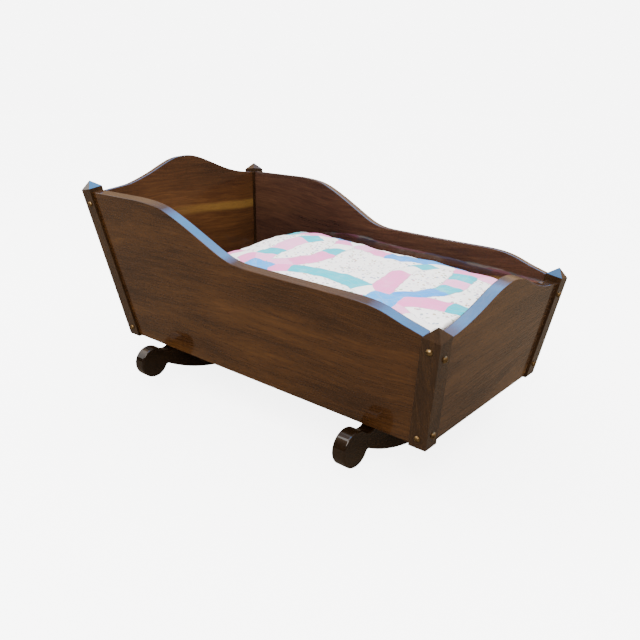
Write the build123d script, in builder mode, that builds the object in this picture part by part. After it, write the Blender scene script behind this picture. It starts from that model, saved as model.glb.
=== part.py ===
from build123d import *
import os
from math import atan, degrees, sqrt

# Baby cradle on two rockers: a splayed box of boards and corner posts, a mattress and a folded quilt.
# Millimetres. +Z is up, +X points to the foot end and -Y to the near side. The origin is on the floor,
# under the middle of the cradle's overall length and width.

os.makedirs("parts", exist_ok=True)

# The box of the cradle. Every wall leans out by the same splay.
box_length = 792.0            # over the corner posts, at their feet
box_width = 402.8
splay = 0.16                  # outward lean of every wall for each millimetre of height
post_thickness = 32.0
head_post_height = 328.0      # from a post's foot to the base of its pyramid cap, at the outer corner
foot_post_height = 198.0
cap_height = 15.5
foot_chamfer = 2.0
board_thickness = 22.0
board_recess = 5.0            # the boards stand this far behind the posts' outer faces
rim_radius = 1.8              # the long edges of each board's rim are eased
crest_offset = 12.0           # both end boards come from one template, whose crest is a little off centre

# The floor of the cradle
plank_thickness = 16.0
plank_count = 3
plank_gap = 1.5
plank_clearance = 0.3
plank_corner = 11.0           # the planks' outer corners are cut off to clear the posts
cleat_size = 16.0
side_cleat_length = 690.0
end_cleat_length = 318.0

# The rockers
rocker_height = 94.5          # from the floor to the underside of the box
rocker_thickness = 28.0
rocker_spacing = 550.0        # between the rockers' centre planes
rocker_shift = -5.0           # their middle lies this far towards the head from the box's middle
rocker_radius = 400.0
rocker_edge_radius = 3.0
belly_reach = 199.0           # from the middle of the rocker to the crook, where its scroll begins
scroll_reach = 230.0          # to the centre of the scroll
scroll_height = 63.5
hollow_reach = 192.0          # to the centre of the hollow in the top edge, next to the scroll
hollow_height = 104.5
crook_radius = 6.0

# Screws: round-headed brass in the posts, flat-headed steel inside
brass_shank_radius = 2.4
brass_head_radius = 5.8
brass_head_height = 4.6
brass_length = 52.0
steel_shank_radius = 1.9
steel_head_radius = 3.9
steel_head_depth = 2.6
hole_clearance = 0.1
post_screw_inset = 17.0       # from the post's corner edge to the screw's centre
head_screw_below_cap = 28.0
foot_screw_below_cap = 17.0
post_screw_above_foot = 20.0
upper_stagger = 12.5          # the screws in a post's end face miss those in its side face
lower_stagger = 6.5
steel_cleat_length = 28.0
steel_rocker_length = 60.0
side_cleat_screw_places = (-300, -100, 100, 300)
end_cleat_screw_places = (-60, 60)
side_plank_screw_places = (-200, 0, 200)

# Bedding
mattress_height = 96.0
mattress_corner = 34.0
quilt_length = 588.0
quilt_width = 360.0
quilt_edge = 14.0             # the quilt's lower edges are cut off by this much
quilt_shoulder = 16.0         # and its upper long edges by this much
bedding_gap = 0.4

stretch = sqrt(1 + splay**2)                # length along a leaning wall for each millimetre of height
tilt = degrees(atan(splay))
foot_z = rocker_height - 4.0                # the posts end a little below the boards
centre_x = (head_post_height - foot_post_height) * splay / 2
board_depth = board_recess + board_thickness
inner_half_length = box_length / 2 - board_depth * stretch
inner_half_width = box_width / 2 - board_depth * stretch
floor_z = rocker_height + plank_thickness
near, far, head, foot = -1, 1, -1, 1


def inside(half, z):
    """Half of the box's inner length or width at height z."""
    return half + splay * (z - foot_z)


def post_corner(end, height, inset_x=0.0, inset_y=0.0):
    """A point on the near post of one end, measured from its outer corner edge."""
    x = centre_x + end * (box_length / 2 + splay * height - inset_x * stretch)
    y = near * (box_width / 2 + splay * height - inset_y * stretch)
    return Vector(x, y, foot_z + height)


def post_height(end):
    return head_post_height if end == head else foot_post_height


def top_screw_height(end):
    """Height of the upper screw in a post's side face, above the post's foot."""
    below_cap = head_screw_below_cap if end == head else foot_screw_below_cap
    return post_height(end) - below_cap


def outward(end=0, side=0):
    """Outward direction of the leaning end or side walls."""
    return Vector(end, side, -splay).normalized()


def side_face_screws(end):
    """Screws that enter a near post's side face and run into the end board."""
    heights = (post_screw_above_foot, top_screw_height(end))
    return [
        Plane(post_corner(end, height, inset_x=post_screw_inset), x_dir=(1, 0, 0), z_dir=outward(side=near))
        for height in heights
    ]


def end_face_screws(end):
    """Screws that enter a near post's end face and run into the side board."""
    low = post_screw_above_foot + lower_stagger
    high = top_screw_height(end) - upper_stagger
    return [
        Plane(post_corner(end, height, inset_y=post_screw_inset), x_dir=(0, 1, 0), z_dir=outward(end=end))
        for height in (low, high)
    ]


def save(piece, name):
    piece.part.label = name
    export_step(piece.part, f"parts/{name}.step")


# ---------------------------------------------------------------------------------------------------
# Corner posts: square, leaning both ways, with a pyramid cap and holes for four screws
# ---------------------------------------------------------------------------------------------------
def corner_post(end):
    axis = Vector(end * splay, near * splay, 1)
    height = post_height(end)
    side = post_thickness * stretch
    cap_base = Plane(post_corner(end, height), z_dir=axis)
    with BuildPart() as post:
        with BuildSketch(Plane(post_corner(end, 0.0), x_dir=(1, 0, 0), z_dir=(0, 0, 1))):
            corner = (Align.MAX if end == foot else Align.MIN, Align.MIN)
            Rectangle(side, side, align=corner)
        extrude(amount=(height + post_thickness) * axis.length, dir=axis)
        split(bisect_by=cap_base, keep=Keep.BOTTOM)
        chamfer(post.faces().sort_by(Axis.Z)[0].edges(), length=foot_chamfer)
        top = post.faces().sort_by(Axis(post_corner(end, 0.0), axis))[-1]
        extrude(top, amount=cap_height, taper=45)
        with Locations(*[plane.location for plane in side_face_screws(end) + end_face_screws(end)]):
            Hole(brass_shank_radius + hole_clearance, depth=post_thickness + 10)
    return post


near_head_post = corner_post(head)
save(near_head_post, "near_head_post")

near_foot_post = corner_post(foot)
save(near_foot_post, "near_foot_post")

with BuildPart() as far_head_post:
    mirror(near_head_post.part, about=Plane.XZ)
save(far_head_post, "far_head_post")

with BuildPart() as far_foot_post:
    mirror(near_foot_post.part, about=Plane.XZ)
save(far_foot_post, "far_foot_post")


# ---------------------------------------------------------------------------------------------------
# Screw positions inside the box, as planes with z pointing out of the screw's head
# ---------------------------------------------------------------------------------------------------
cleat_centre_z = floor_z + cleat_size / 2
cleat_face_y = inside(inner_half_width, cleat_centre_z) - cleat_size * stretch
cleat_face_x = inside(inner_half_length, cleat_centre_z) - cleat_size * stretch


def side_cleat_screws(side):
    """Screws that run through a side cleat into the side board."""
    return [
        Plane((centre_x + x, side * cleat_face_y, cleat_centre_z), x_dir=(1, 0, 0), z_dir=-outward(side=side))
        for x in side_cleat_screw_places
    ]


def end_cleat_screws(end):
    """Screws that run through an end cleat into the end board."""
    return [
        Plane((centre_x + end * cleat_face_x, y, cleat_centre_z), x_dir=(0, 1, 0), z_dir=-outward(end=end))
        for y in end_cleat_screw_places
    ]


def plank_screws():
    """Screws driven up through the planks into the cleats."""
    side_row = inside(inner_half_width, floor_z) - cleat_size / 2
    end_row = inside(inner_half_length, floor_z) - cleat_size / 2
    spots = [(x, side * side_row) for x in side_plank_screw_places for side in (near, far)]
    spots += [(end * end_row, y) for y in plank_rows for end in (head, foot)]
    return [Plane((centre_x + x, y, rocker_height), x_dir=(1, 0, 0), z_dir=(0, 0, -1)) for x, y in spots]


def rocker_screws():
    """Screws driven down through the planks into the rockers."""
    return [
        Plane((x, y, floor_z), x_dir=(1, 0, 0), z_dir=(0, 0, 1)) for x in rocker_places for y in plank_rows
    ]


def screw_holes(planes, depth):
    """Plain shank holes from the planes inwards."""
    with Locations(*[plane.location for plane in planes]):
        Hole(steel_shank_radius + hole_clearance, depth=depth)


def sunk_holes(planes, depth):
    """Shank holes with a conical seat for the head."""
    with Locations(*[plane.location for plane in planes]):
        CounterSinkHole(
            steel_shank_radius + hole_clearance,
            steel_head_radius + hole_clearance,
            depth=depth,
            counter_sink_angle=2 * degrees(atan((steel_head_radius - steel_shank_radius) / steel_head_depth)),
        )


plank_pitch = 2 * inside(inner_half_width, rocker_height) / plank_count
plank_rows = [(i - (plank_count - 1) / 2) * plank_pitch for i in range(plank_count)]
rocker_places = [centre_x + rocker_shift + end * rocker_spacing / 2 for end in (head, foot)]

# ---------------------------------------------------------------------------------------------------
# Side boards: high at the head, swept down to a low rim, with a small rise before the foot post
# ---------------------------------------------------------------------------------------------------
# The rim's line as (distance from the box's middle towards the foot, height above the posts' feet)
shoulder = (-280.0, 326.5)
side_sweep = [
    shoulder, (-225, 324), (-190, 318.5), (-150, 304.5), (-60, 261.5), (-22, 244.6), (5, 238), (40, 235.7),
    (120, 233.9), (220, 232.6), (268, 232), (297, 229.8), (322, 224.8), (355, 213.5), (385, 204.5),
]
overhang = 60.0               # boards are drawn this much too long, then cut to the posts
underside = Plane.XY.offset(rocker_height)


def cut_between_posts(first_face, second_face):
    """Cut a board's ends to the posts and its lower edge level."""
    split(bisect_by=first_face, keep=Keep.BOTTOM)
    split(bisect_by=second_face, keep=Keep.BOTTOM)
    split(bisect_by=underside, keep=Keep.TOP)


def ease_rim(board):
    """Round over the long edges of a board's shaped rim."""
    rim = [face for face in board.faces() if face.normal_at().Z > 0.5]
    edges = ShapeList(edge for face in rim for edge in face.edges() if edge.length > 1.5 * board_thickness)
    fillet(edges, radius=rim_radius)


with BuildPart() as near_side_panel:
    side_outer_face = Plane(
        Vector(centre_x, near * (box_width / 2 - board_recess * stretch), foot_z),
        x_dir=(1, 0, 0),
        z_dir=outward(side=near),
    )
    with BuildSketch(side_outer_face):
        with BuildLine():
            points = [(x, height * stretch) for x, height in side_sweep]
            sweep_curve = Spline(*points, tangents=[(1, 0), (1, -0.3)])
            head_line = Line(sweep_curve @ 0, sweep_curve @ 0 - (box_length / 2, 0))
            foot_line = Line(sweep_curve @ 1, sweep_curve @ 1 + overhang * (sweep_curve % 1))
            left, right = (head_line @ 1).X, (foot_line @ 1).X
            Polyline(head_line @ 1, (left, -overhang), (right, -overhang), foot_line @ 1)
        make_face()
    extrude(amount=-board_thickness)
    ease_rim(near_side_panel)
    cut_between_posts(
        Plane(post_corner(head, 0.0, inset_x=post_thickness), z_dir=(-1, 0, -splay)),
        Plane(post_corner(foot, 0.0, inset_x=post_thickness), z_dir=(1, 0, -splay)),
    )
    with Locations(*[plane.location for plane in end_face_screws(head) + end_face_screws(foot)]):
        Hole(brass_shank_radius + hole_clearance, depth=brass_length + 1)
    screw_holes(side_cleat_screws(near), depth=steel_cleat_length + 1)
save(near_side_panel, "near_side_panel")

with BuildPart() as far_side_panel:
    mirror(near_side_panel.part, about=Plane.XZ)
save(far_side_panel, "far_side_panel")


# ---------------------------------------------------------------------------------------------------
# End boards: a low rim at the posts rising to a rounded crest
# ---------------------------------------------------------------------------------------------------
# Half of each crest's line as (distance from the crest, height above the posts' feet)
head_crest = [(0, 381), (30, 377.5), (54, 369.8), (102, 350), (148, 334.5), (191, 327)]
foot_crest = [
    (0, 246), (20, 244), (48, 237), (79, 224.5), (107, 213.8), (130, 206.5), (151, 201.3), (178, 196.8),
]
rim_slope = 0.12              # of the rim where it meets the posts


def end_panel(end, crest):
    outer_face = Plane(
        Vector(centre_x + end * (box_length / 2 - board_recess * stretch), 0, foot_z),
        x_dir=(0, end, 0),
        z_dir=outward(end=end),
    )
    with BuildPart() as panel:
        with BuildSketch(outer_face):
            with BuildLine():
                half = [(y, height * stretch) for y, height in crest]
                mirrored = [(-y, height) for y, height in reversed(half[1:])] + half
                points = [(y - crest_offset, height) for y, height in mirrored]
                curve = Spline(*points, tangents=[(1, rim_slope), (1, -rim_slope)])
                low_side = Line(curve @ 0, curve @ 0 - overhang * (curve % 0))
                high_side = Line(curve @ 1, curve @ 1 + overhang * (curve % 1))
                left, right = (low_side @ 1).X, (high_side @ 1).X
                Polyline(low_side @ 1, (left, -overhang), (right, -overhang), high_side @ 1)
            make_face()
        extrude(amount=-board_thickness)
        ease_rim(panel)
        near_inner_face = Plane(post_corner(end, 0.0, inset_y=post_thickness), z_dir=(0, near, -splay))
        far_origin = Vector(near_inner_face.origin.X, -near_inner_face.origin.Y, near_inner_face.origin.Z)
        cut_between_posts(near_inner_face, Plane(far_origin, z_dir=(0, far, -splay)))
        near_holes = side_face_screws(end)
        far_holes = [
            Plane((hole.origin.X, -hole.origin.Y, hole.origin.Z), x_dir=(1, 0, 0), z_dir=outward(side=far))
            for hole in near_holes
        ]
        with Locations(*[plane.location for plane in near_holes + far_holes]):
            Hole(brass_shank_radius + hole_clearance, depth=brass_length + 1)
        screw_holes(end_cleat_screws(end), depth=steel_cleat_length + 1)
    return panel


head_panel = end_panel(head, head_crest)
save(head_panel, "head_panel")

foot_panel = end_panel(foot, foot_crest)
save(foot_panel, "foot_panel")


# ---------------------------------------------------------------------------------------------------
# Floor: three planks laid inside the box, on the rockers, held up to cleats round the walls
# ---------------------------------------------------------------------------------------------------
def floor_plank(row_y):
    length = 2 * (inside(inner_half_length, rocker_height) - plank_clearance)
    width = 2 * (inside(inner_half_width, rocker_height) - plank_clearance)
    with BuildPart() as plank:
        with BuildSketch(Plane((centre_x, 0, rocker_height))):
            Rectangle(length, width)
        extrude(amount=plank_thickness, taper=-tilt)
        chamfer(plank.edges().filter_by(lambda edge: abs(edge.tangent_at(0).Z) > 0.5), length=plank_corner)
        edge_room = 10.0 if row_y else 0.0
        with Locations((centre_x, row_y + edge_room * (1 if row_y > 0 else -1), floor_z)):
            Box(2 * length, plank_pitch - plank_gap + 2 * edge_room, 4 * plank_thickness, mode=Mode.INTERSECT)
        chamfer(plank.edges().filter_by(Axis.X).group_by(Axis.Z)[-1], length=1.2)
        sunk_holes([spot for spot in rocker_screws() + plank_screws() if holds(spot, row_y)], plank_thickness)
    return plank


def holds(spot, row_y):
    """Whether a screw's place lies on the plank in this row."""
    return abs(spot.origin.Y - row_y) < plank_pitch / 2


for row_y, place in zip(plank_rows, ("near", "middle", "far")):
    save(floor_plank(row_y), f"{place}_floor_plank")


# ---------------------------------------------------------------------------------------------------
# Cleats: square strips with one face planed to the wall's lean
# ---------------------------------------------------------------------------------------------------
def cleat_section(half):
    """Outline of a cleat across its length; half is the box's inner half size on that axis."""
    low, high = inside(half, floor_z), inside(half, floor_z + cleat_size)
    face = inside(half, cleat_centre_z) - cleat_size * stretch
    lean = splay * cleat_size / 2
    top = floor_z + cleat_size
    return [(low, floor_z), (high, top), (face + lean, top), (face - lean, floor_z)]


with BuildPart() as near_cleat:
    with BuildSketch(Plane((centre_x - side_cleat_length / 2, 0, 0), x_dir=(0, 1, 0), z_dir=(1, 0, 0))):
        with BuildLine():
            Polyline(*[(near * y, z) for y, z in cleat_section(inner_half_width)], close=True)
        make_face()
    extrude(amount=side_cleat_length)
    sunk_holes(side_cleat_screws(near), cleat_size * 2)
    screw_holes(plank_screws(), steel_cleat_length + 1)
save(near_cleat, "near_cleat")

with BuildPart() as far_cleat:
    mirror(near_cleat.part, about=Plane.XZ)
save(far_cleat, "far_cleat")


def end_cleat(end):
    with BuildPart() as cleat:
        with BuildSketch(Plane((centre_x, end_cleat_length / 2, 0), x_dir=(1, 0, 0), z_dir=(0, -1, 0))):
            with BuildLine():
                Polyline(*[(end * x, z) for x, z in cleat_section(inner_half_length)], close=True)
            make_face()
        extrude(amount=end_cleat_length)
        sunk_holes(end_cleat_screws(end), cleat_size * 2)
        screw_holes(plank_screws(), steel_cleat_length + 1)
    return cleat


save(end_cleat(head), "head_cleat")
save(end_cleat(foot), "foot_cleat")


# ---------------------------------------------------------------------------------------------------
# Rockers: one thick board each, a round belly between two rounded scroll ends that act as stops
# ---------------------------------------------------------------------------------------------------
crook = Vector(belly_reach, rocker_radius - sqrt(rocker_radius**2 - belly_reach**2))
scroll_centre = Vector(scroll_reach, scroll_height)
scroll_radius = (scroll_centre - crook).length
hollow_centre = Vector(hollow_reach, hollow_height)
to_scroll = (scroll_centre - hollow_centre).normalized()
neck = scroll_centre - to_scroll * scroll_radius           # the scroll and the hollow meet without a corner
hollow_radius = (neck - hollow_centre).length
hollow_end = hollow_reach - sqrt(hollow_radius**2 - (hollow_height - rocker_height)**2)


def rocker(middle_x):
    with BuildPart() as piece:
        rear_face = Plane((middle_x - rocker_thickness / 2, 0, 0), x_dir=(0, 1, 0), z_dir=(1, 0, 0))
        with BuildSketch(rear_face) as outline:
            with BuildLine():
                half_way = belly_reach / 2
                belly_middle = (half_way, rocker_radius - sqrt(rocker_radius**2 - half_way**2))
                ThreePointArc((0, 0), belly_middle, crook)
                ThreePointArc(crook, scroll_centre + Vector(scroll_radius, 0), neck)
                ThreePointArc(neck, hollow_centre - Vector(0, hollow_radius), (hollow_end, rocker_height))
                Line((hollow_end, rocker_height), (0, rocker_height))
                mirror(about=Plane.YZ)
            make_face()
            crooks = [corner for corner in outline.vertices() if abs(corner.Y - crook.Y) < 1]
            fillet(crooks, radius=crook_radius)
        extrude(amount=rocker_thickness)
        faces = piece.faces().filter_by(Axis.X)
        rounded = [edge for edge in faces.edges() if edge.geom_type == GeomType.CIRCLE]
        fillet(rounded, radius=rocker_edge_radius)
        screw_holes(rocker_screws(), depth=steel_rocker_length)
    return piece


for middle_x, place in zip(rocker_places, ("head", "foot")):
    save(rocker(middle_x), f"{place}_rocker")


# ---------------------------------------------------------------------------------------------------
# Screws: one node for each post's four brass screws, and one for each kind of steel screw
# ---------------------------------------------------------------------------------------------------
def turned(plane, profile, domed=False):
    """Turn a screw about a plane's z axis from its outline of (radius, height) points."""
    half = Plane(plane.origin, x_dir=plane.x_dir, z_dir=-plane.y_dir)
    with BuildSketch(half) as section:
        with BuildLine():
            Polyline(*profile)
            if domed:
                TangentArc(profile[0], profile[-1], tangent=(1, 0))
            else:
                Line(profile[0], profile[-1])
        make_face()
    revolve(section.sketch, axis=Axis(plane.origin, plane.z_dir))


def round_head_screws(planes):
    outline = [
        (0, brass_head_height), (0, -brass_length), (brass_shank_radius * 0.3, -brass_length),
        (brass_shank_radius, -brass_length + 6), (brass_shank_radius, 0),
        (brass_head_radius, 0), (brass_head_radius, 0.5),
    ]
    with BuildPart() as screws:
        for plane in planes:
            turned(plane, outline, domed=True)
    return screws


def flat_head_screws(planes, length):
    outline = [
        (0, -length), (steel_shank_radius * 0.3, -length), (steel_shank_radius, -length + 5),
        (steel_shank_radius, -steel_head_depth), (steel_head_radius, 0), (0, 0),
    ]
    with BuildPart() as screws:
        for plane in planes:
            turned(plane, outline)
    return screws


for end, end_name in ((head, "head"), (foot, "foot")):
    near_screws = round_head_screws(side_face_screws(end) + end_face_screws(end))
    save(near_screws, f"near_{end_name}_post_screws")
    with BuildPart() as far_screws:
        mirror(near_screws.part, about=Plane.XZ)
    save(far_screws, f"far_{end_name}_post_screws")

all_cleat_screws = (
    side_cleat_screws(near) + side_cleat_screws(far) + end_cleat_screws(head) + end_cleat_screws(foot)
)
save(flat_head_screws(all_cleat_screws, steel_cleat_length), "cleat_screws")
save(flat_head_screws(plank_screws(), steel_cleat_length), "plank_screws")
save(flat_head_screws(rocker_screws(), steel_rocker_length), "rocker_screws")


# ---------------------------------------------------------------------------------------------------
# Mattress: a plump pad that fills the box, narrower underneath where the cleats are
# ---------------------------------------------------------------------------------------------------
with BuildPart() as mattress:
    mattress_levels = ((0.0, 27.0), (0.42, 6.0), (0.84, 6.0), (1.0, 26.0))   # share of height, margin
    for share, margin in mattress_levels:
        z = floor_z + bedding_gap + share * mattress_height
        with BuildSketch(Plane((centre_x, 0, z))):
            RectangleRounded(
                2 * (inside(inner_half_length, z) - margin),
                2 * (inside(inner_half_width, z) - margin),
                radius=mattress_corner,
            )
    loft(ruled=True)
save(mattress, "mattress")

# ---------------------------------------------------------------------------------------------------
# Quilt: folded into a thick pad, plumper towards the head end and thinner at the foot
# ---------------------------------------------------------------------------------------------------
quilt_bottom = floor_z + mattress_height + 2 * bedding_gap
quilt_head_x = centre_x - 215.0
quilt_crown = [(0, 64), (22, 92), (62, 103), (150, 93), (320, 90), (470, 83), (566, 70), (588, 44)]

with BuildPart() as quilt:
    with BuildSketch(Plane((quilt_head_x, quilt_width / 2, quilt_bottom), x_dir=(1, 0, 0), z_dir=(0, -1, 0))):
        with BuildLine():
            crown_curve = Spline(*quilt_crown)
            Polyline(
                crown_curve @ 1, (quilt_length, quilt_edge), (quilt_length - quilt_edge, 0),
                (quilt_edge, 0), (0, quilt_edge), crown_curve @ 0,
            )
        make_face()
    extrude(amount=quilt_width)
    side_edges = quilt.faces().filter_by(Axis.Y).edges()
    chamfer(side_edges.filter_by(lambda edge: (edge @ 0.5).Z > quilt_bottom + 60), length=quilt_shoulder)
save(quilt, "quilt")
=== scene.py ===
import math

import bpy
import numpy as np
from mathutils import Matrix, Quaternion, Vector


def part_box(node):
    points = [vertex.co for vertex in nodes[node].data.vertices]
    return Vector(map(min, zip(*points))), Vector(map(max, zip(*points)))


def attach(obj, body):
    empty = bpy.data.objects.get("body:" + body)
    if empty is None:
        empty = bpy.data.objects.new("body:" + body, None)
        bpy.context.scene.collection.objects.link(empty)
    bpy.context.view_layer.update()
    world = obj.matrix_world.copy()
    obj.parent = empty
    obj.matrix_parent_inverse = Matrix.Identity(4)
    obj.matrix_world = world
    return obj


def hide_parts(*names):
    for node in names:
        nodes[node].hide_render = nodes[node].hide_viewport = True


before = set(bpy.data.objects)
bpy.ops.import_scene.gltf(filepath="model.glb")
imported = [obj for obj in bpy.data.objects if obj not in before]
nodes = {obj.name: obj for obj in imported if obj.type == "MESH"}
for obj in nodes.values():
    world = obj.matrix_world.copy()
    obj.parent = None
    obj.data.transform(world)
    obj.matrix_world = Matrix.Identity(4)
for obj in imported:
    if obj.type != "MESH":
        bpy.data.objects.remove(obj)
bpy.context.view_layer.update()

# ---------------------------------------------------------------------------------------------------
# Camera: a hand-held shot from above the foot end's near corner, about 1.4 m from the cradle and with
# the horizon a little off level.
# ---------------------------------------------------------------------------------------------------
eye = Vector((0.8567, -0.9834, 0.6252))
aim = Vector((0.0160, 0.0, 0.1647))
horizon_roll = math.radians(0.40)
sensor_width = 36.0                # millimetres
focal_length = 36.53

camera_data = bpy.data.cameras.new("camera")
camera_data.sensor_width = sensor_width
camera_data.lens = focal_length
camera_data.clip_start = 0.01
camera = bpy.data.objects.new("camera", camera_data)
bpy.context.scene.collection.objects.link(camera)
level = (aim - eye).to_track_quat("-Z", "Y")
camera.rotation_mode = "QUATERNION"
camera.rotation_quaternion = level @ Quaternion((0, 0, 1), horizon_roll)
camera.location = eye
bpy.context.scene.camera = camera

# ---------------------------------------------------------------------------------------------------
# Boards: plain-sawn walnut with the grain along each board, stained dark and varnished to a gloss.
# The two long sides and the two end boards are cut from the same stock.
# ---------------------------------------------------------------------------------------------------
class Wire:
    """One output of a shader node. Arithmetic on it adds the Math nodes."""

    def __init__(self, finish, socket):
        self.finish, self.socket = finish, socket

    def maths(self, operation, *others):
        return self.finish.node("ShaderNodeMath", {"operation": operation}, self, *others)

    def __add__(self, other):
        return self.maths("ADD", other)

    def __mul__(self, other):
        return self.maths("MULTIPLY", other)

    def __sub__(self, other):
        return self.maths("SUBTRACT", other)

    def __rsub__(self, other):
        return self.finish.node("ShaderNodeMath", {"operation": "SUBTRACT"}, other, self)

    def __truediv__(self, other):
        return self.maths("DIVIDE", other)

    def __gt__(self, other):
        return self.maths("GREATER_THAN", other)

    def __lt__(self, other):
        return self.maths("LESS_THAN", other)

    __radd__, __rmul__ = __add__, __mul__

    def smooth(self, low, high):
        """0 below low and 1 above high, with a soft step between; low may be the larger."""
        settings = {"interpolation_type": "SMOOTHSTEP"}
        if low < high:
            return self.finish.node("ShaderNodeMapRange", settings, self, low, high, 0.0, 1.0)
        return self.finish.node("ShaderNodeMapRange", settings, self, high, low, 1.0, 0.0)


class Finish:
    """A material under construction around one Principled shader."""

    def __init__(self, name, **constants):
        self.material = bpy.data.materials.new(name)
        self.material.use_nodes = True
        self.tree = self.material.node_tree
        self.shader = self.tree.nodes["Principled BSDF"]
        for socket, value in constants.items():
            self.shader.inputs[socket.replace("_", " ")].default_value = value

    def put(self, socket, value):
        if isinstance(value, Wire):
            self.tree.links.new(value.socket, socket)
        elif value is not None:
            socket.default_value = value

    def node(self, kind, settings=None, *values, out=0, **named):
        """Add a node: its settings first, then its sockets by order or by name."""
        made = self.tree.nodes.new(kind)
        for key, value in (settings or {}).items():
            if key == "stops":
                while len(made.color_ramp.elements) < len(value):
                    made.color_ramp.elements.new(0.5)
                for element, (place, color) in zip(made.color_ramp.elements, value):
                    element.position, element.color = place, (*color, 1.0)
            elif key == "steps":
                made.color_ramp.interpolation = "CONSTANT" if value else "LINEAR"
            else:
                setattr(made, key, value)
        for socket, value in zip(made.inputs, values):
            self.put(socket, value)
        for name, value in named.items():
            self.put(made.inputs[name.replace("_", " ")], value)
        return Wire(self, made.outputs[out])

    def axes(self, vector):
        return [self.node("ShaderNodeSeparateXYZ", None, vector, out=i) for i in range(3)]

    def vector(self, x, y, z):
        return self.node("ShaderNodeCombineXYZ", None, x, y, z)

    def noise(self, vector, scale, detail=2.0, roughness=0.5):
        named = {"Vector": vector, "Scale": scale, "Detail": detail, "Roughness": roughness}
        return self.node("ShaderNodeTexNoise", **named)

    def ramp(self, factor, *stops, steps=False):
        return self.node("ShaderNodeValToRGB", {"stops": stops, "steps": steps}, factor)

    def blend(self, factor, first, second):
        """The first colour where the factor is 0 and the second where it is 1."""
        made = self.tree.nodes.new("ShaderNodeMix")
        made.data_type = "RGBA"
        for index, value in ((0, factor), (6, first), (7, second)):
            self.put(made.inputs[index], (*value, 1.0) if isinstance(value, tuple) else value)
        return Wire(self, made.outputs[2])

    def surface(self, color, roughness=None, height=None, depth=0.001, strength=1.0):
        """Wire up what varies over the surface; height goes through a Bump node of that depth."""
        for name, value in (("Base Color", color), ("Roughness", roughness)):
            self.put(self.shader.inputs[name], value)
        if height is not None:
            normal = self.node("ShaderNodeBump", None, Strength=strength, Distance=depth, Height=height)
            self.put(self.shader.inputs["Normal"], normal)


# Walnut's own colours, from its darkest latewood to its lightest, by the tone at which each stands
walnut_shades = (
    (0.36, (0.0150, 0.0064, 0.0026)),
    (0.50, (0.0400, 0.0160, 0.0048)),
    (0.60, (0.0640, 0.0262, 0.0068)),
    (0.74, (0.1150, 0.0500, 0.0130)),
)
sapwood = (0.130, 0.068, 0.016)
open_pore = (0.010, 0.005, 0.003)
varnish = {"Specular_IOR_Level": 0.04, "Coat_Weight": 0.9, "Coat_Roughness": 0.05}
pore_depth = 0.00012


def varnished_walnut(name, grain, seed, tone_and_painted_light, streak=None, coat=varnish):
    """Walnut with its grain along one axis: slow figure, long fibres, fine pores and a clear varnish.

    A streak of pale sapwood is given as (middle, width, from, to) across and along the grain.
    """
    wood = Finish(name, **coat)
    place = wood.node("ShaderNodeTexCoord", out=3)
    x, y, z = wood.axes(place)
    along, across, depth = {"X": (x, z, y), "Y": (y, z, x), "Z": (z, x, y)}[grain]
    drift = wood.noise(wood.vector(along * 1.6 + seed, across * 4.0, depth * 4.0), 1.0, 3.0)
    bent = across + drift * 0.10
    figure = wood.noise(wood.vector(along * 2.2 + seed, bent * 34.0, depth * 34.0), 1.0, 5.0, 0.62)
    fibre = wood.noise(wood.vector(along * 16.0, bent * 330.0, depth * 330.0 + seed), 1.0, 5.0, 0.68)
    cloud = wood.noise(wood.vector(along * 3.0, across * 6.0 + seed, depth * 6.0), 1.0, 2.0)
    pore = wood.noise(wood.vector(along * 60.0 + seed, across * 1700.0, depth * 1700.0), 1.0, 1.0)
    pore = pore.smooth(0.58, 0.70)
    tone = figure * 0.34 + fibre * 0.40 + cloud * 0.32
    # each part's colours are scaled by its multiplier: its own tone, and on the four boards also painted light
    # and shade
    stops = [(stop, tuple(t * c for t, c in zip(tone_and_painted_light, shade))) for stop, shade in walnut_shades]
    color = wood.ramp(tone, *stops)
    if streak:
        middle, width, start, full = streak
        band = (across + drift * 0.06 - middle - 0.03).maths("ABSOLUTE").smooth(width, width * 0.3)
        band = band * along.smooth(start, full)
        color = wood.blend(band * 0.70, color, sapwood)
    color = wood.blend(pore * 0.40, color, open_pore)
    roughness = 0.26 + fibre * 0.16 + pore * 0.2
    wood.surface(color, roughness, height=fibre * 0.35 - pore, depth=pore_depth, strength=0.4)
    return wood.material


def finish_nodes(material, *names):
    """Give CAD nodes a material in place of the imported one."""
    for name in names:
        mesh = nodes[name].data
        mesh.materials.clear()
        mesh.materials.append(material)


far_side_streak = (0.262, 0.012, 0.05, 0.30)
head_streak = (0.338, 0.013, -0.15, 0.10)
# each board's multiplier paints in the light on it: the near side is darkened as painted shade, the far side
# made blue as painted sky light, and the head and foot made lighter and cooler as painted light
near_side_wood = varnished_walnut("walnut_near_side", "X", 3.1, (0.56, 0.52, 0.48))
far_side_wood = varnished_walnut("walnut_far_side", "X", 11.7, (0.68, 0.72, 1.50), far_side_streak)
head_wood = varnished_walnut("walnut_head", "Y", 6.4, (0.80, 0.76, 0.95), head_streak)
foot_wood = varnished_walnut("walnut_foot", "Y", 9.2, (0.72, 0.80, 1.05))
finish_nodes(near_side_wood, "near_side_panel")
finish_nodes(far_side_wood, "far_side_panel")
finish_nodes(head_wood, "head_panel")
finish_nodes(foot_wood, "foot_panel")

# ---------------------------------------------------------------------------------------------------
# Corner posts: square walnut stock with the grain upright, a pyramid cut on top, varnished like the
# boards and a shade darker.
# ---------------------------------------------------------------------------------------------------
post_names = [f"{side}_{end}_post" for side in ("near", "far") for end in ("head", "foot")]
post_wood = varnished_walnut("walnut_posts", "Z", 1.7, (0.35, 0.37, 0.43))
finish_nodes(post_wood, *post_names)

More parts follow.
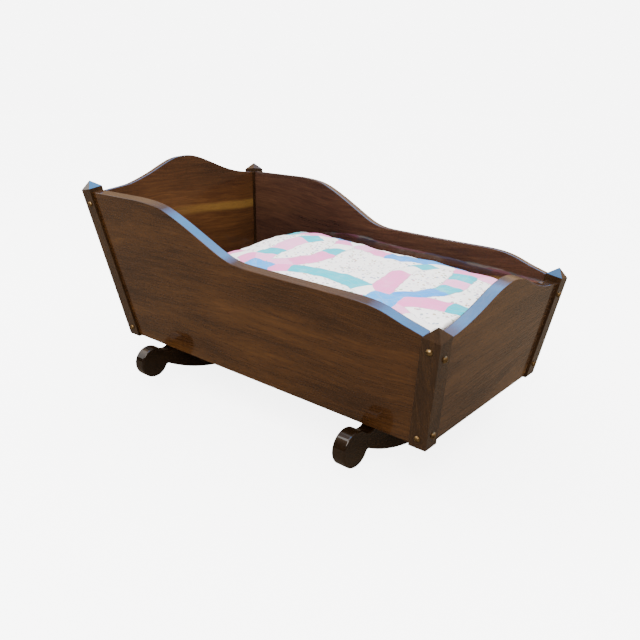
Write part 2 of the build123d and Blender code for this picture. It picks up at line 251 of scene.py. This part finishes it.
# ---------------------------------------------------------------------------------------------------
# Floor planks and cleats: the same timber left plain and a little lighter, out of sight under the
# mattress. The planks run the length of the cradle and are screwed up to the cleats round the walls.
# ---------------------------------------------------------------------------------------------------
plank_names = [f"{row}_floor_plank" for row in ("near", "middle", "far")]
plain = {"Coat_Weight": 0.0, "Specular_IOR_Level": 0.3, "Coat_Roughness": 0.05}
unstained = (1.6, 1.6, 1.6)
plank_wood = varnished_walnut("plain_planks", "X", 4.4, unstained, coat=plain)
finish_nodes(plank_wood, *plank_names, "near_cleat", "far_cleat")
end_cleat_wood = varnished_walnut("plain_end_cleats", "Y", 2.9, unstained, coat=plain)
finish_nodes(end_cleat_wood, "head_cleat", "foot_cleat")

# ---------------------------------------------------------------------------------------------------
# Rockers: one thick board each, sawn to a round belly with a scroll at both ends. The grain runs along
# the board, and its multiplier makes the wood nearly black under the varnish.
# ---------------------------------------------------------------------------------------------------
rocker_wood = varnished_walnut("dark_rockers", "Y", 5.3, (0.15, 0.17, 0.19))
finish_nodes(rocker_wood, "head_rocker", "foot_rocker")

# ---------------------------------------------------------------------------------------------------
# Round-headed brass screws, two in each outer face of every post, which hold the boards to the posts.
# They are aged: dull gold, browner in patches, under a fine grime.
# ---------------------------------------------------------------------------------------------------
brass = Finish("aged_brass", Metallic=1.0, Specular_IOR_Level=0.5)
spot = brass.node("ShaderNodeTexCoord", out=3)
tarnish = brass.noise(spot, 260.0, 4.0, 0.6)
grime = brass.noise(spot, 900.0, 3.0)
brown, dull_gold, rubbed_gold = (0.09, 0.055, 0.024), (0.26, 0.17, 0.075), (0.46, 0.33, 0.16)
brass.surface(
    brass.ramp(tarnish, (0.35, brown), (0.55, dull_gold), (0.75, rubbed_gold)),
    0.28 + tarnish * 0.25,
    height=grime,
    depth=0.0001,
    strength=0.3,
)
finish_nodes(brass.material, *[f"{name}_screws" for name in post_names])

# ---------------------------------------------------------------------------------------------------
# Flat-headed steel screws, sunk in the floor planks and the cleats: grey mill scale with worn, brighter
# patches.
# ---------------------------------------------------------------------------------------------------
steel = Finish("screw_steel", Metallic=1.0)
spot = steel.node("ShaderNodeTexCoord", out=3)
scale_marks = steel.noise(spot, 700.0, 3.0)
mill_scale, worn_steel = (0.16, 0.15, 0.14), (0.42, 0.41, 0.39)
steel.surface(
    steel.ramp(scale_marks, (0.3, mill_scale), (0.7, worn_steel)),
    0.35 + scale_marks * 0.2,
    height=scale_marks,
    depth=0.00005,
    strength=0.3,
)
finish_nodes(steel.material, "cleat_screws", "plank_screws", "rocker_screws")

# ---------------------------------------------------------------------------------------------------
# Mattress: a plump cotton pad in blue-striped ticking that fills the bottom of the cradle. It is the
# plain pad blown up as cloth, so that its faces crown and its edges roll in, then stroked with stripes.
# ---------------------------------------------------------------------------------------------------
mattress_low, mattress_high = (Vector(corner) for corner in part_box("mattress"))
mattress_middle = (mattress_low + mattress_high) / 2
swell = 0.006                      # the most that the cloth may bulge past the plain pad
cloth_grid = 0.007
merge_reach = 0.00001
air_pressure = 4.0
last_frame = 20
stripes_per_metre = 34.0

pad_mesh = nodes["mattress"].data.copy()
mattress = bpy.data.objects.new("mattress_pad", pad_mesh)
bpy.context.scene.collection.objects.link(mattress)
bpy.ops.object.select_all(action="DESELECT")
mattress.select_set(True)
bpy.context.view_layer.objects.active = mattress
pad_size = mattress_high - mattress_low
shrink = Vector([(length - 2 * swell) / length for length in pad_size])
for vertex in pad_mesh.vertices:
    vertex.co = Vector([m + (c - m) * k for c, m, k in zip(vertex.co, mattress_middle, shrink)])
bpy.ops.object.mode_set(mode="EDIT")
bpy.ops.mesh.select_all(action="SELECT")
bpy.ops.mesh.remove_doubles(threshold=merge_reach)
bpy.ops.object.mode_set(mode="OBJECT")
remesh = mattress.modifiers.new("even", "REMESH")
remesh.mode, remesh.voxel_size = "VOXEL", cloth_grid
bpy.ops.object.modifier_apply(modifier=remesh.name)
start = np.empty(len(mattress.data.vertices) * 3)
mattress.data.vertices.foreach_get("co", start)
cloth = mattress.modifiers.new("swell", "CLOTH")
cloth.settings.use_pressure = True
cloth.settings.uniform_pressure_force = air_pressure
cloth.settings.effector_weights.gravity = 0.0
cloth.point_cache.frame_start, cloth.point_cache.frame_end = 1, last_frame
for frame_number in range(1, last_frame + 1):
    bpy.context.scene.frame_set(frame_number)
bpy.ops.object.modifier_apply(modifier=cloth.name)
swollen = np.empty_like(start)
mattress.data.vertices.foreach_get("co", swollen)
move = (swollen - start).reshape(-1, 3)
reach = np.linalg.norm(move, axis=1, keepdims=True)
move *= np.minimum(1.0, swell / np.maximum(reach, 1e-9))
mattress.data.vertices.foreach_set("co", (start.reshape(-1, 3) + move).ravel())
bpy.context.scene.frame_set(1)
subdivide = mattress.modifiers.new("smooth", "SUBSURF")
subdivide.levels = subdivide.render_levels = 1
bpy.ops.object.modifier_apply(modifier=subdivide.name)
bpy.ops.object.shade_smooth()

ticking = Finish("mattress_ticking", Roughness=0.85, Specular_IOR_Level=0.15)
place = ticking.node("ShaderNodeTexCoord", out=3)
x, y, z = ticking.axes(place)
beat = (y * stripes_per_metre).maths("FRACT")
off_stripe = (beat - 0.5).maths("ABSOLUTE")
stripe = off_stripe.smooth(0.12, 0.08)
hairline = (off_stripe - 0.26).maths("ABSOLUTE").smooth(0.035, 0.02)
thread = ticking.noise(ticking.vector(x * 900.0, y * 2200.0, z * 900.0), 1.0, 2.0)
cream, navy, shaded_cream = (0.72, 0.67, 0.57), (0.10, 0.15, 0.30), (0.42, 0.38, 0.32)
striped = ticking.blend(stripe + hairline, cream, navy)
woven = ticking.blend(thread * 0.35, striped, shaded_cream)
ticking.surface(woven, height=thread, depth=0.0003, strength=0.4)
mattress.data.materials.clear()
mattress.data.materials.append(ticking.material)
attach(mattress, "mattress")
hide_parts("mattress")

# ---------------------------------------------------------------------------------------------------
# Quilt: an old cotton patchwork crib quilt, pieced in interlocking rings on white calico and quilted by
# hand. It is folded in thirds across and then in half, with the rounded turn towards the head end.
# ---------------------------------------------------------------------------------------------------
quilt_low, quilt_high = (Vector(corner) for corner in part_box("quilt"))
bedding_gap = 0.001
ply_pitch = 0.0138                 # from one layer of the folded quilt to the next
ply_thickness = 0.0118
across_turn = ply_pitch / 2        # radius of the turns along the long edges
end_turn = 1.5 * ply_pitch         # radius of the middle ply's turn at the head end
side_room = 0.006
end_room = 0.025                   # the turn fills it, and the loose edges reach a little past the plain quilt
turn_room = 0.030                  # from the head end to where the plies run straight
ply_width = (quilt_high.y - quilt_low.y) - 2 * across_turn - ply_thickness - side_room
ply_length = (quilt_high.x - quilt_low.x) - end_room
quilt_flat_length = 2 * ply_length + math.pi * end_turn
quilt_flat_width = 3 * ply_width + 2 * math.pi * across_turn
ring_pitch = 0.300                 # of the pieced rings, which cross and leave pointed melons
ring_radius = 0.205
band_width = 0.046
pucker_rise = 0.0030               # how far the wadding stands up between seams
pucker_reach = 0.012
crumple, crumple_waves = 0.0014, (0.047, 0.033, 0.024)
sunk_seams = 0.0015
heave, heave_waves = 0.045, (0.27, 0.19, 0.13)
lean_to_far_side = 0.012
plump_places = (0.0, 0.10, 0.30, 0.60, 0.85, 1.0)
plump_shares = (1.08, 1.20, 1.10, 1.04, 0.99, 0.88)
thin_edges = 0.10
end_wander, end_waves = 0.005, (0.21, 0.13)
side_wander, side_waves = 0.020, (0.33, 0.19, 0.11)
drawn_in = 0.975                   # the plies' sides, to leave room for their wander
smooth_past_turn = 0.03


def ring_distance(u, v):
    """Signed distance from the middle of the nearest pieced band, negative in the pointed melons."""
    x = np.abs((u / ring_pitch + 0.5) % 1.0 - 0.5) * ring_pitch
    y = np.abs((v / ring_pitch + 0.5) % 1.0 - 0.5) * ring_pitch
    return np.hypot(ring_pitch - np.maximum(x, y), np.minimum(x, y)) - ring_radius


def ripple(u, v, waves):
    """A smooth uneven surface made of a few sine waves of the given lengths."""
    total = 0.0
    for step, length in enumerate(waves):
        heading = 0.7 + 2.4 * step
        along = u * math.cos(heading) + v * math.sin(heading)
        total = total + np.sin(2 * math.pi * along / length + 1.3 * step)
    return total / len(waves)


# Where each line of the flat quilt's grid lies, finer on the ply that shows
half_u = ply_length + math.pi * end_turn / 2
lines_u = np.concatenate([
    np.linspace(0, ply_length, 46)[:-1],
    np.linspace(ply_length, ply_length + math.pi * end_turn, 19)[:-1],
    np.linspace(ply_length + math.pi * end_turn, quilt_flat_length, 150),
])
turn_v = math.pi * across_turn
lines_v = np.concatenate([
    np.linspace(0, ply_width, 26)[:-1],
    np.linspace(ply_width, ply_width + turn_v, 9)[:-1],
    np.linspace(ply_width + turn_v, 2 * ply_width + turn_v, 26)[:-1],
    np.linspace(2 * ply_width + turn_v, 2 * ply_width + 2 * turn_v, 9)[:-1],
    np.linspace(2 * ply_width + 2 * turn_v, quilt_flat_width, 92),
])
u, v = np.meshgrid(lines_u, lines_v, indexing="ij")

# Across, the quilt is folded in thirds like a letter: out, back and out again, one layer up at each turn
second_ply, third_ply = ply_width + turn_v, 2 * ply_width + 2 * turn_v
first_turn = np.clip((v - ply_width) / across_turn, 0, math.pi)
second_turn = np.clip((v - 2 * ply_width - turn_v) / across_turn, 0, math.pi)
out_run = np.clip(v, 0, ply_width) + np.clip(v - third_ply, 0, ply_width)
back_run = np.clip(v - second_ply, 0, ply_width)
side = out_run - back_run - ply_width / 2 + across_turn * (np.sin(first_turn) - np.sin(second_turn))
layer = across_turn * (2 - np.cos(first_turn) - np.cos(second_turn)) - ply_pitch

# Along, all three plies turn over together at the head end and come back on top of themselves
bend = np.clip((u - ply_length) / end_turn, 0, math.pi)
upper_run = np.clip(u - ply_length - math.pi * end_turn, 0, ply_length)
run = ply_length - np.clip(u, 0, ply_length) + upper_run
along = run - (end_turn + layer) * np.sin(bend)
height = end_turn - (end_turn + layer) * np.cos(bend) + ply_pitch + ply_thickness / 2

# The stack is plumper towards the head, thinner at the foot and along its edges, and lies a little askew
length_share = np.clip(along / ply_length, 0, 1)
edge_share = np.clip(np.abs(side) / (ply_width / 2), 0, 1)
level = height / (2 * end_turn + 2 * ply_pitch + ply_thickness)
plump = np.interp(length_share, plump_places, plump_shares) * (1 - thin_edges * edge_share**4)
plump = plump + heave * ripple(along, side, heave_waves) * level
off_seam = np.abs(np.abs(ring_distance(u, v)) - band_width / 2)
puff = np.minimum(off_seam, pucker_reach) / pucker_reach
pucker = pucker_rise * np.sqrt(puff) + crumple * ripple(u, v, crumple_waves)
lean = lean_to_far_side * side / (ply_width / 2) * (1 - length_share) * level
x = quilt_low.x + turn_room + along + end_wander * ripple(side, height, end_waves)
y = side * (drawn_in + side_wander * ripple(along, height, side_waves))
z = quilt_low.z + bedding_gap + height * plump + lean
top_ply = (u > half_u) & (v > 2 * ply_width + turn_v)
past_turn = np.clip((u - half_u) / smooth_past_turn, 0, 1)
z = z + np.where(top_ply, pucker - sunk_seams, 0.0) * past_turn

rows, columns = u.shape
corners = np.stack([x, y, z], axis=-1).reshape(-1, 3)
index = np.arange(rows * columns).reshape(rows, columns)
around = [index[:-1, :-1], index[1:, :-1], index[1:, 1:], index[:-1, 1:]]
faces = np.stack(around, axis=-1).reshape(-1, 4)
quilt_mesh = bpy.data.meshes.new("quilt_cloth")
quilt_mesh.from_pydata(corners.tolist(), [], faces.tolist())
flat_map = quilt_mesh.uv_layers.new(name="flat")
loop_corners = np.empty(len(quilt_mesh.loops), dtype=np.int32)
quilt_mesh.loops.foreach_get("vertex_index", loop_corners)
flat_places = np.stack([u, v], axis=-1).reshape(-1, 2)[loop_corners]
flat_map.data.foreach_set("uv", flat_places.ravel())
quilt = bpy.data.objects.new("quilt_cloth", quilt_mesh)
bpy.context.scene.collection.objects.link(quilt)
bpy.ops.object.select_all(action="DESELECT")
quilt.select_set(True)
bpy.context.view_layer.objects.active = quilt
bpy.ops.object.shade_smooth()
wadding = quilt.modifiers.new("wadding", "SOLIDIFY")
wadding.thickness, wadding.offset = ply_thickness, 0.0
bpy.ops.object.modifier_apply(modifier=wadding.name)

warp = 0.020                       # how far the old patches are drawn out of true
patches_per_radian = 4.6
corner_square = 0.030
sprigs_per_metre = 125.0
vine_inset, vine_half = 0.062, 0.0075
stitch_spacing = 0.014
stitches_per_radian = 90.0
calico, thread_grey, shaded_calico = (0.98, 0.96, 0.96), (0.62, 0.58, 0.56), (0.45, 0.42, 0.42)
pink, aqua, washed_white = (0.84, 0.22, 0.52), (0.00, 0.44, 0.56), (0.95, 0.93, 0.93)
rose, blue, square_blue = (0.88, 0.36, 0.64), (0.02, 0.26, 0.72), (0.03, 0.30, 0.74)
worn_white, vine_brown = (0.90, 0.89, 0.88), (0.50, 0.30, 0.14)
red_dot, blue_dot, green_dot, brown_dot = (
    (0.55, 0.26, 0.28), (0.22, 0.30, 0.52), (0.30, 0.38, 0.26), (0.42, 0.27, 0.14),
)

cloth_sheen = {"Sheen_Weight": 0.15, "Sheen_Roughness": 0.5}
cotton = Finish("quilt_cotton", Roughness=0.9, Specular_IOR_Level=0.05, **cloth_sheen)
flat_place = cotton.node("ShaderNodeUVMap", {"uv_map": "flat"})
u, v = cotton.axes(flat_place)[:2]
u = u + (cotton.noise(flat_place, 7.0, 1.0) - 0.5) * warp
v = v + (cotton.noise(cotton.vector(v, u, 3.7), 7.0, 1.0) - 0.5) * warp
cell_u = (u / ring_pitch + 0.5).maths("FLOOR")
cell_v = (v / ring_pitch + 0.5).maths("FLOOR")
local_u = u - cell_u * ring_pitch
local_v = v - cell_v * ring_pitch
size_u, size_v = local_u.maths("ABSOLUTE"), local_v.maths("ABSOLUTE")
long_side = size_u.maths("MAXIMUM", size_v)
short_side = size_u.maths("MINIMUM", size_v)
to_ring_middle = ring_pitch - long_side
radius = (to_ring_middle.maths("POWER", 2.0) + short_side.maths("POWER", 2.0)).maths("SQRT")
off_band = radius - ring_radius
off_middle = off_band.maths("ABSOLUTE")
on_band = off_middle < band_width / 2

# Each ring is pieced from patches of five cloths, with a blue square where four rings meet
turn = short_side.maths("ARCTAN2", to_ring_middle)
patch_place = turn * patches_per_radian
patch = patch_place.maths("FLOOR")
quarter = (local_u > 0.0) + (local_v > 0.0) * 2.0 + (size_u > size_v) * 4.0
ragbag = cotton.vector(cell_u * 3.1 + patch * 7.7, cell_v * 5.3, quarter)
lot = cotton.node("ShaderNodeTexWhiteNoise", {"noise_dimensions": "3D"}, Vector=ragbag)
shares = (0.00, pink), (0.32, aqua), (0.56, washed_white), (0.74, rose), (0.90, blue)
band_cloth = cotton.ramp(lot, *shares, steps=True)
corner_patch = (short_side > ring_pitch * 0.5 - corner_square) * on_band

# The calico between the rings is printed with small dots, and with a brown vine along some melons
sprigs = {"Vector": flat_place, "Scale": sprigs_per_metre}
from_sprig = cotton.node("ShaderNodeTexVoronoi", {"feature": "F1"}, **sprigs)
sprig = cotton.node("ShaderNodeTexVoronoi", {"feature": "F1"}, out=1, **sprigs)
chance, hue = (cotton.node("ShaderNodeSeparateColor", None, sprig, out=i) for i in range(2))
dotted = (from_sprig < 0.34) * (chance > 0.22)
dot_cloth = cotton.ramp(hue, (0.0, red_dot), (0.4, blue_dot), (0.7, green_dot), (0.9, brown_dot))
ground = cotton.blend(dotted * 0.85, calico, dot_cloth)
off_vine = (off_band + vine_inset).maths("ABSOLUTE")
vine = off_vine.smooth(vine_half, 0.003) * (from_sprig < 0.5)
ground = cotton.blend(vine * (cell_v > 1.0) * 0.7, ground, vine_brown)

# Seams, the joints between patches, rows of hand stitches and the wear of many washes
body = cotton.blend(on_band, ground, band_cloth)
body = cotton.blend(corner_patch, body, square_blue)
seam = (off_middle - band_width / 2).maths("ABSOLUTE").smooth(0.0016, 0.0004)
off_joint = (patch_place.maths("FRACT") - 0.5).maths("ABSOLUTE")
joint = off_joint.smooth(0.485, 0.5) * on_band
wear = cotton.noise(flat_place, 34.0, 4.0, 0.6)
body = cotton.blend(wear.smooth(0.50, 0.75) * 0.12, body, worn_white)
body = cotton.blend((seam + joint).maths("MINIMUM", 1.0) * 0.35, body, shaded_calico)
weave = cotton.noise(cotton.vector(u * 2600.0, v * 2600.0, 0.0), 1.0, 1.0)
stitch_row = ((off_middle / stitch_spacing).maths("FRACT") - 0.5).maths("ABSOLUTE")
stitches = stitch_row.smooth(0.06, 0.02) * ((turn * stitches_per_radian).maths("FRACT") > 0.45)
creases = cotton.noise(flat_place, 60.0, 3.0, 0.55)
cotton.surface(
    cotton.blend(stitches * 0.35, body, thread_grey),
    height=creases * 1.6 + weave * 0.12 - seam * 0.9 - stitches * 0.5,
    depth=0.0016,
    strength=0.55,
)
quilt.data.materials.clear()
quilt.data.materials.append(cotton.material)
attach(quilt, "quilt")
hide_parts("quilt")

# ---------------------------------------------------------------------------------------------------
# Stage: a pale floor, an even white surround and three soft lamps. What shines in the varnish is a clear
# sky above the far side and a dull, warm yard below it.
# ---------------------------------------------------------------------------------------------------
bpy.ops.mesh.primitive_plane_add(size=30.0, location=(0, 0, 0))
floor = bpy.context.object
floor.name = "floor"
paper = Finish("pale_floor", Roughness=0.95, Specular_IOR_Level=0.0, Emission_Strength=1.0)
seen_directly = paper.node("ShaderNodeLightPath", out=0)
seen_in_gloss = paper.node("ShaderNodeLightPath", out=3)
pale, yard_brown = (0.80, 0.80, 0.80), (0.10, 0.08, 0.06)
unlit, lit = (0.0, 0.0, 0.0), (5.0, 5.0, 5.0)
paper.surface(paper.blend(seen_in_gloss, pale, yard_brown))
paper.put(paper.shader.inputs["Emission Color"], paper.blend(seen_directly, unlit, lit))
floor.data.materials.append(paper.material)

# The surround's colours are worked out with the same wires as a finish, in the world's own node tree
surround = Finish("surround_maths")
world = bpy.data.worlds.new("surround")
bpy.context.scene.world = world
world.use_nodes = True
surround.tree = world.node_tree
bpy.data.materials.remove(surround.material)
toward = surround.node("ShaderNodeTexCoord", out=0)
east, north, up = surround.axes(toward)
sky = surround.ramp(
    up + north * 0.35,
    (0.00, (0.03, 0.022, 0.015)), (0.35, (0.30, 0.20, 0.12)), (0.62, (1.15, 0.78, 0.50)),
    (0.86, (1.05, 0.88, 0.90)), (0.95, (1.9, 3.2, 6.5)), (1.00, (1.7, 7.0, 15.0)),
)
shining = surround.node("ShaderNodeLightPath", out=3)
seen = surround.node("ShaderNodeLightPath", out=0)
soft_white, backdrop_white = (2.6, 2.6, 2.6), (7.0, 7.0, 7.0)
room = surround.blend(shining, soft_white, sky)
background = world.node_tree.nodes["Background"]
surround.put(background.inputs["Color"], surround.blend(seen, room, backdrop_white))


def soft_lamp(name, place, size, power, color):
    data = bpy.data.lights.new(name, "AREA")
    data.shape, data.size, data.energy, data.color = "SQUARE", size, power, color
    lamp = bpy.data.objects.new(name, data)
    bpy.context.scene.collection.objects.link(lamp)
    lamp.location = place
    lamp.rotation_euler = (Vector((0, 0, 0.2)) - Vector(place)).to_track_quat("-Z", "Y").to_euler()


soft_lamp("key_lamp", (1.3, -2.2, 2.4), 1.6, 95.0, (1.0, 0.95, 0.88))
soft_lamp("top_lamp", (-0.50, -0.95, 2.10), 1.0, 14.0, (1.0, 1.0, 1.0))
soft_lamp("fill_lamp", (-2.4, -1.2, 1.6), 1.8, 20.0, (1.0, 0.97, 0.94))
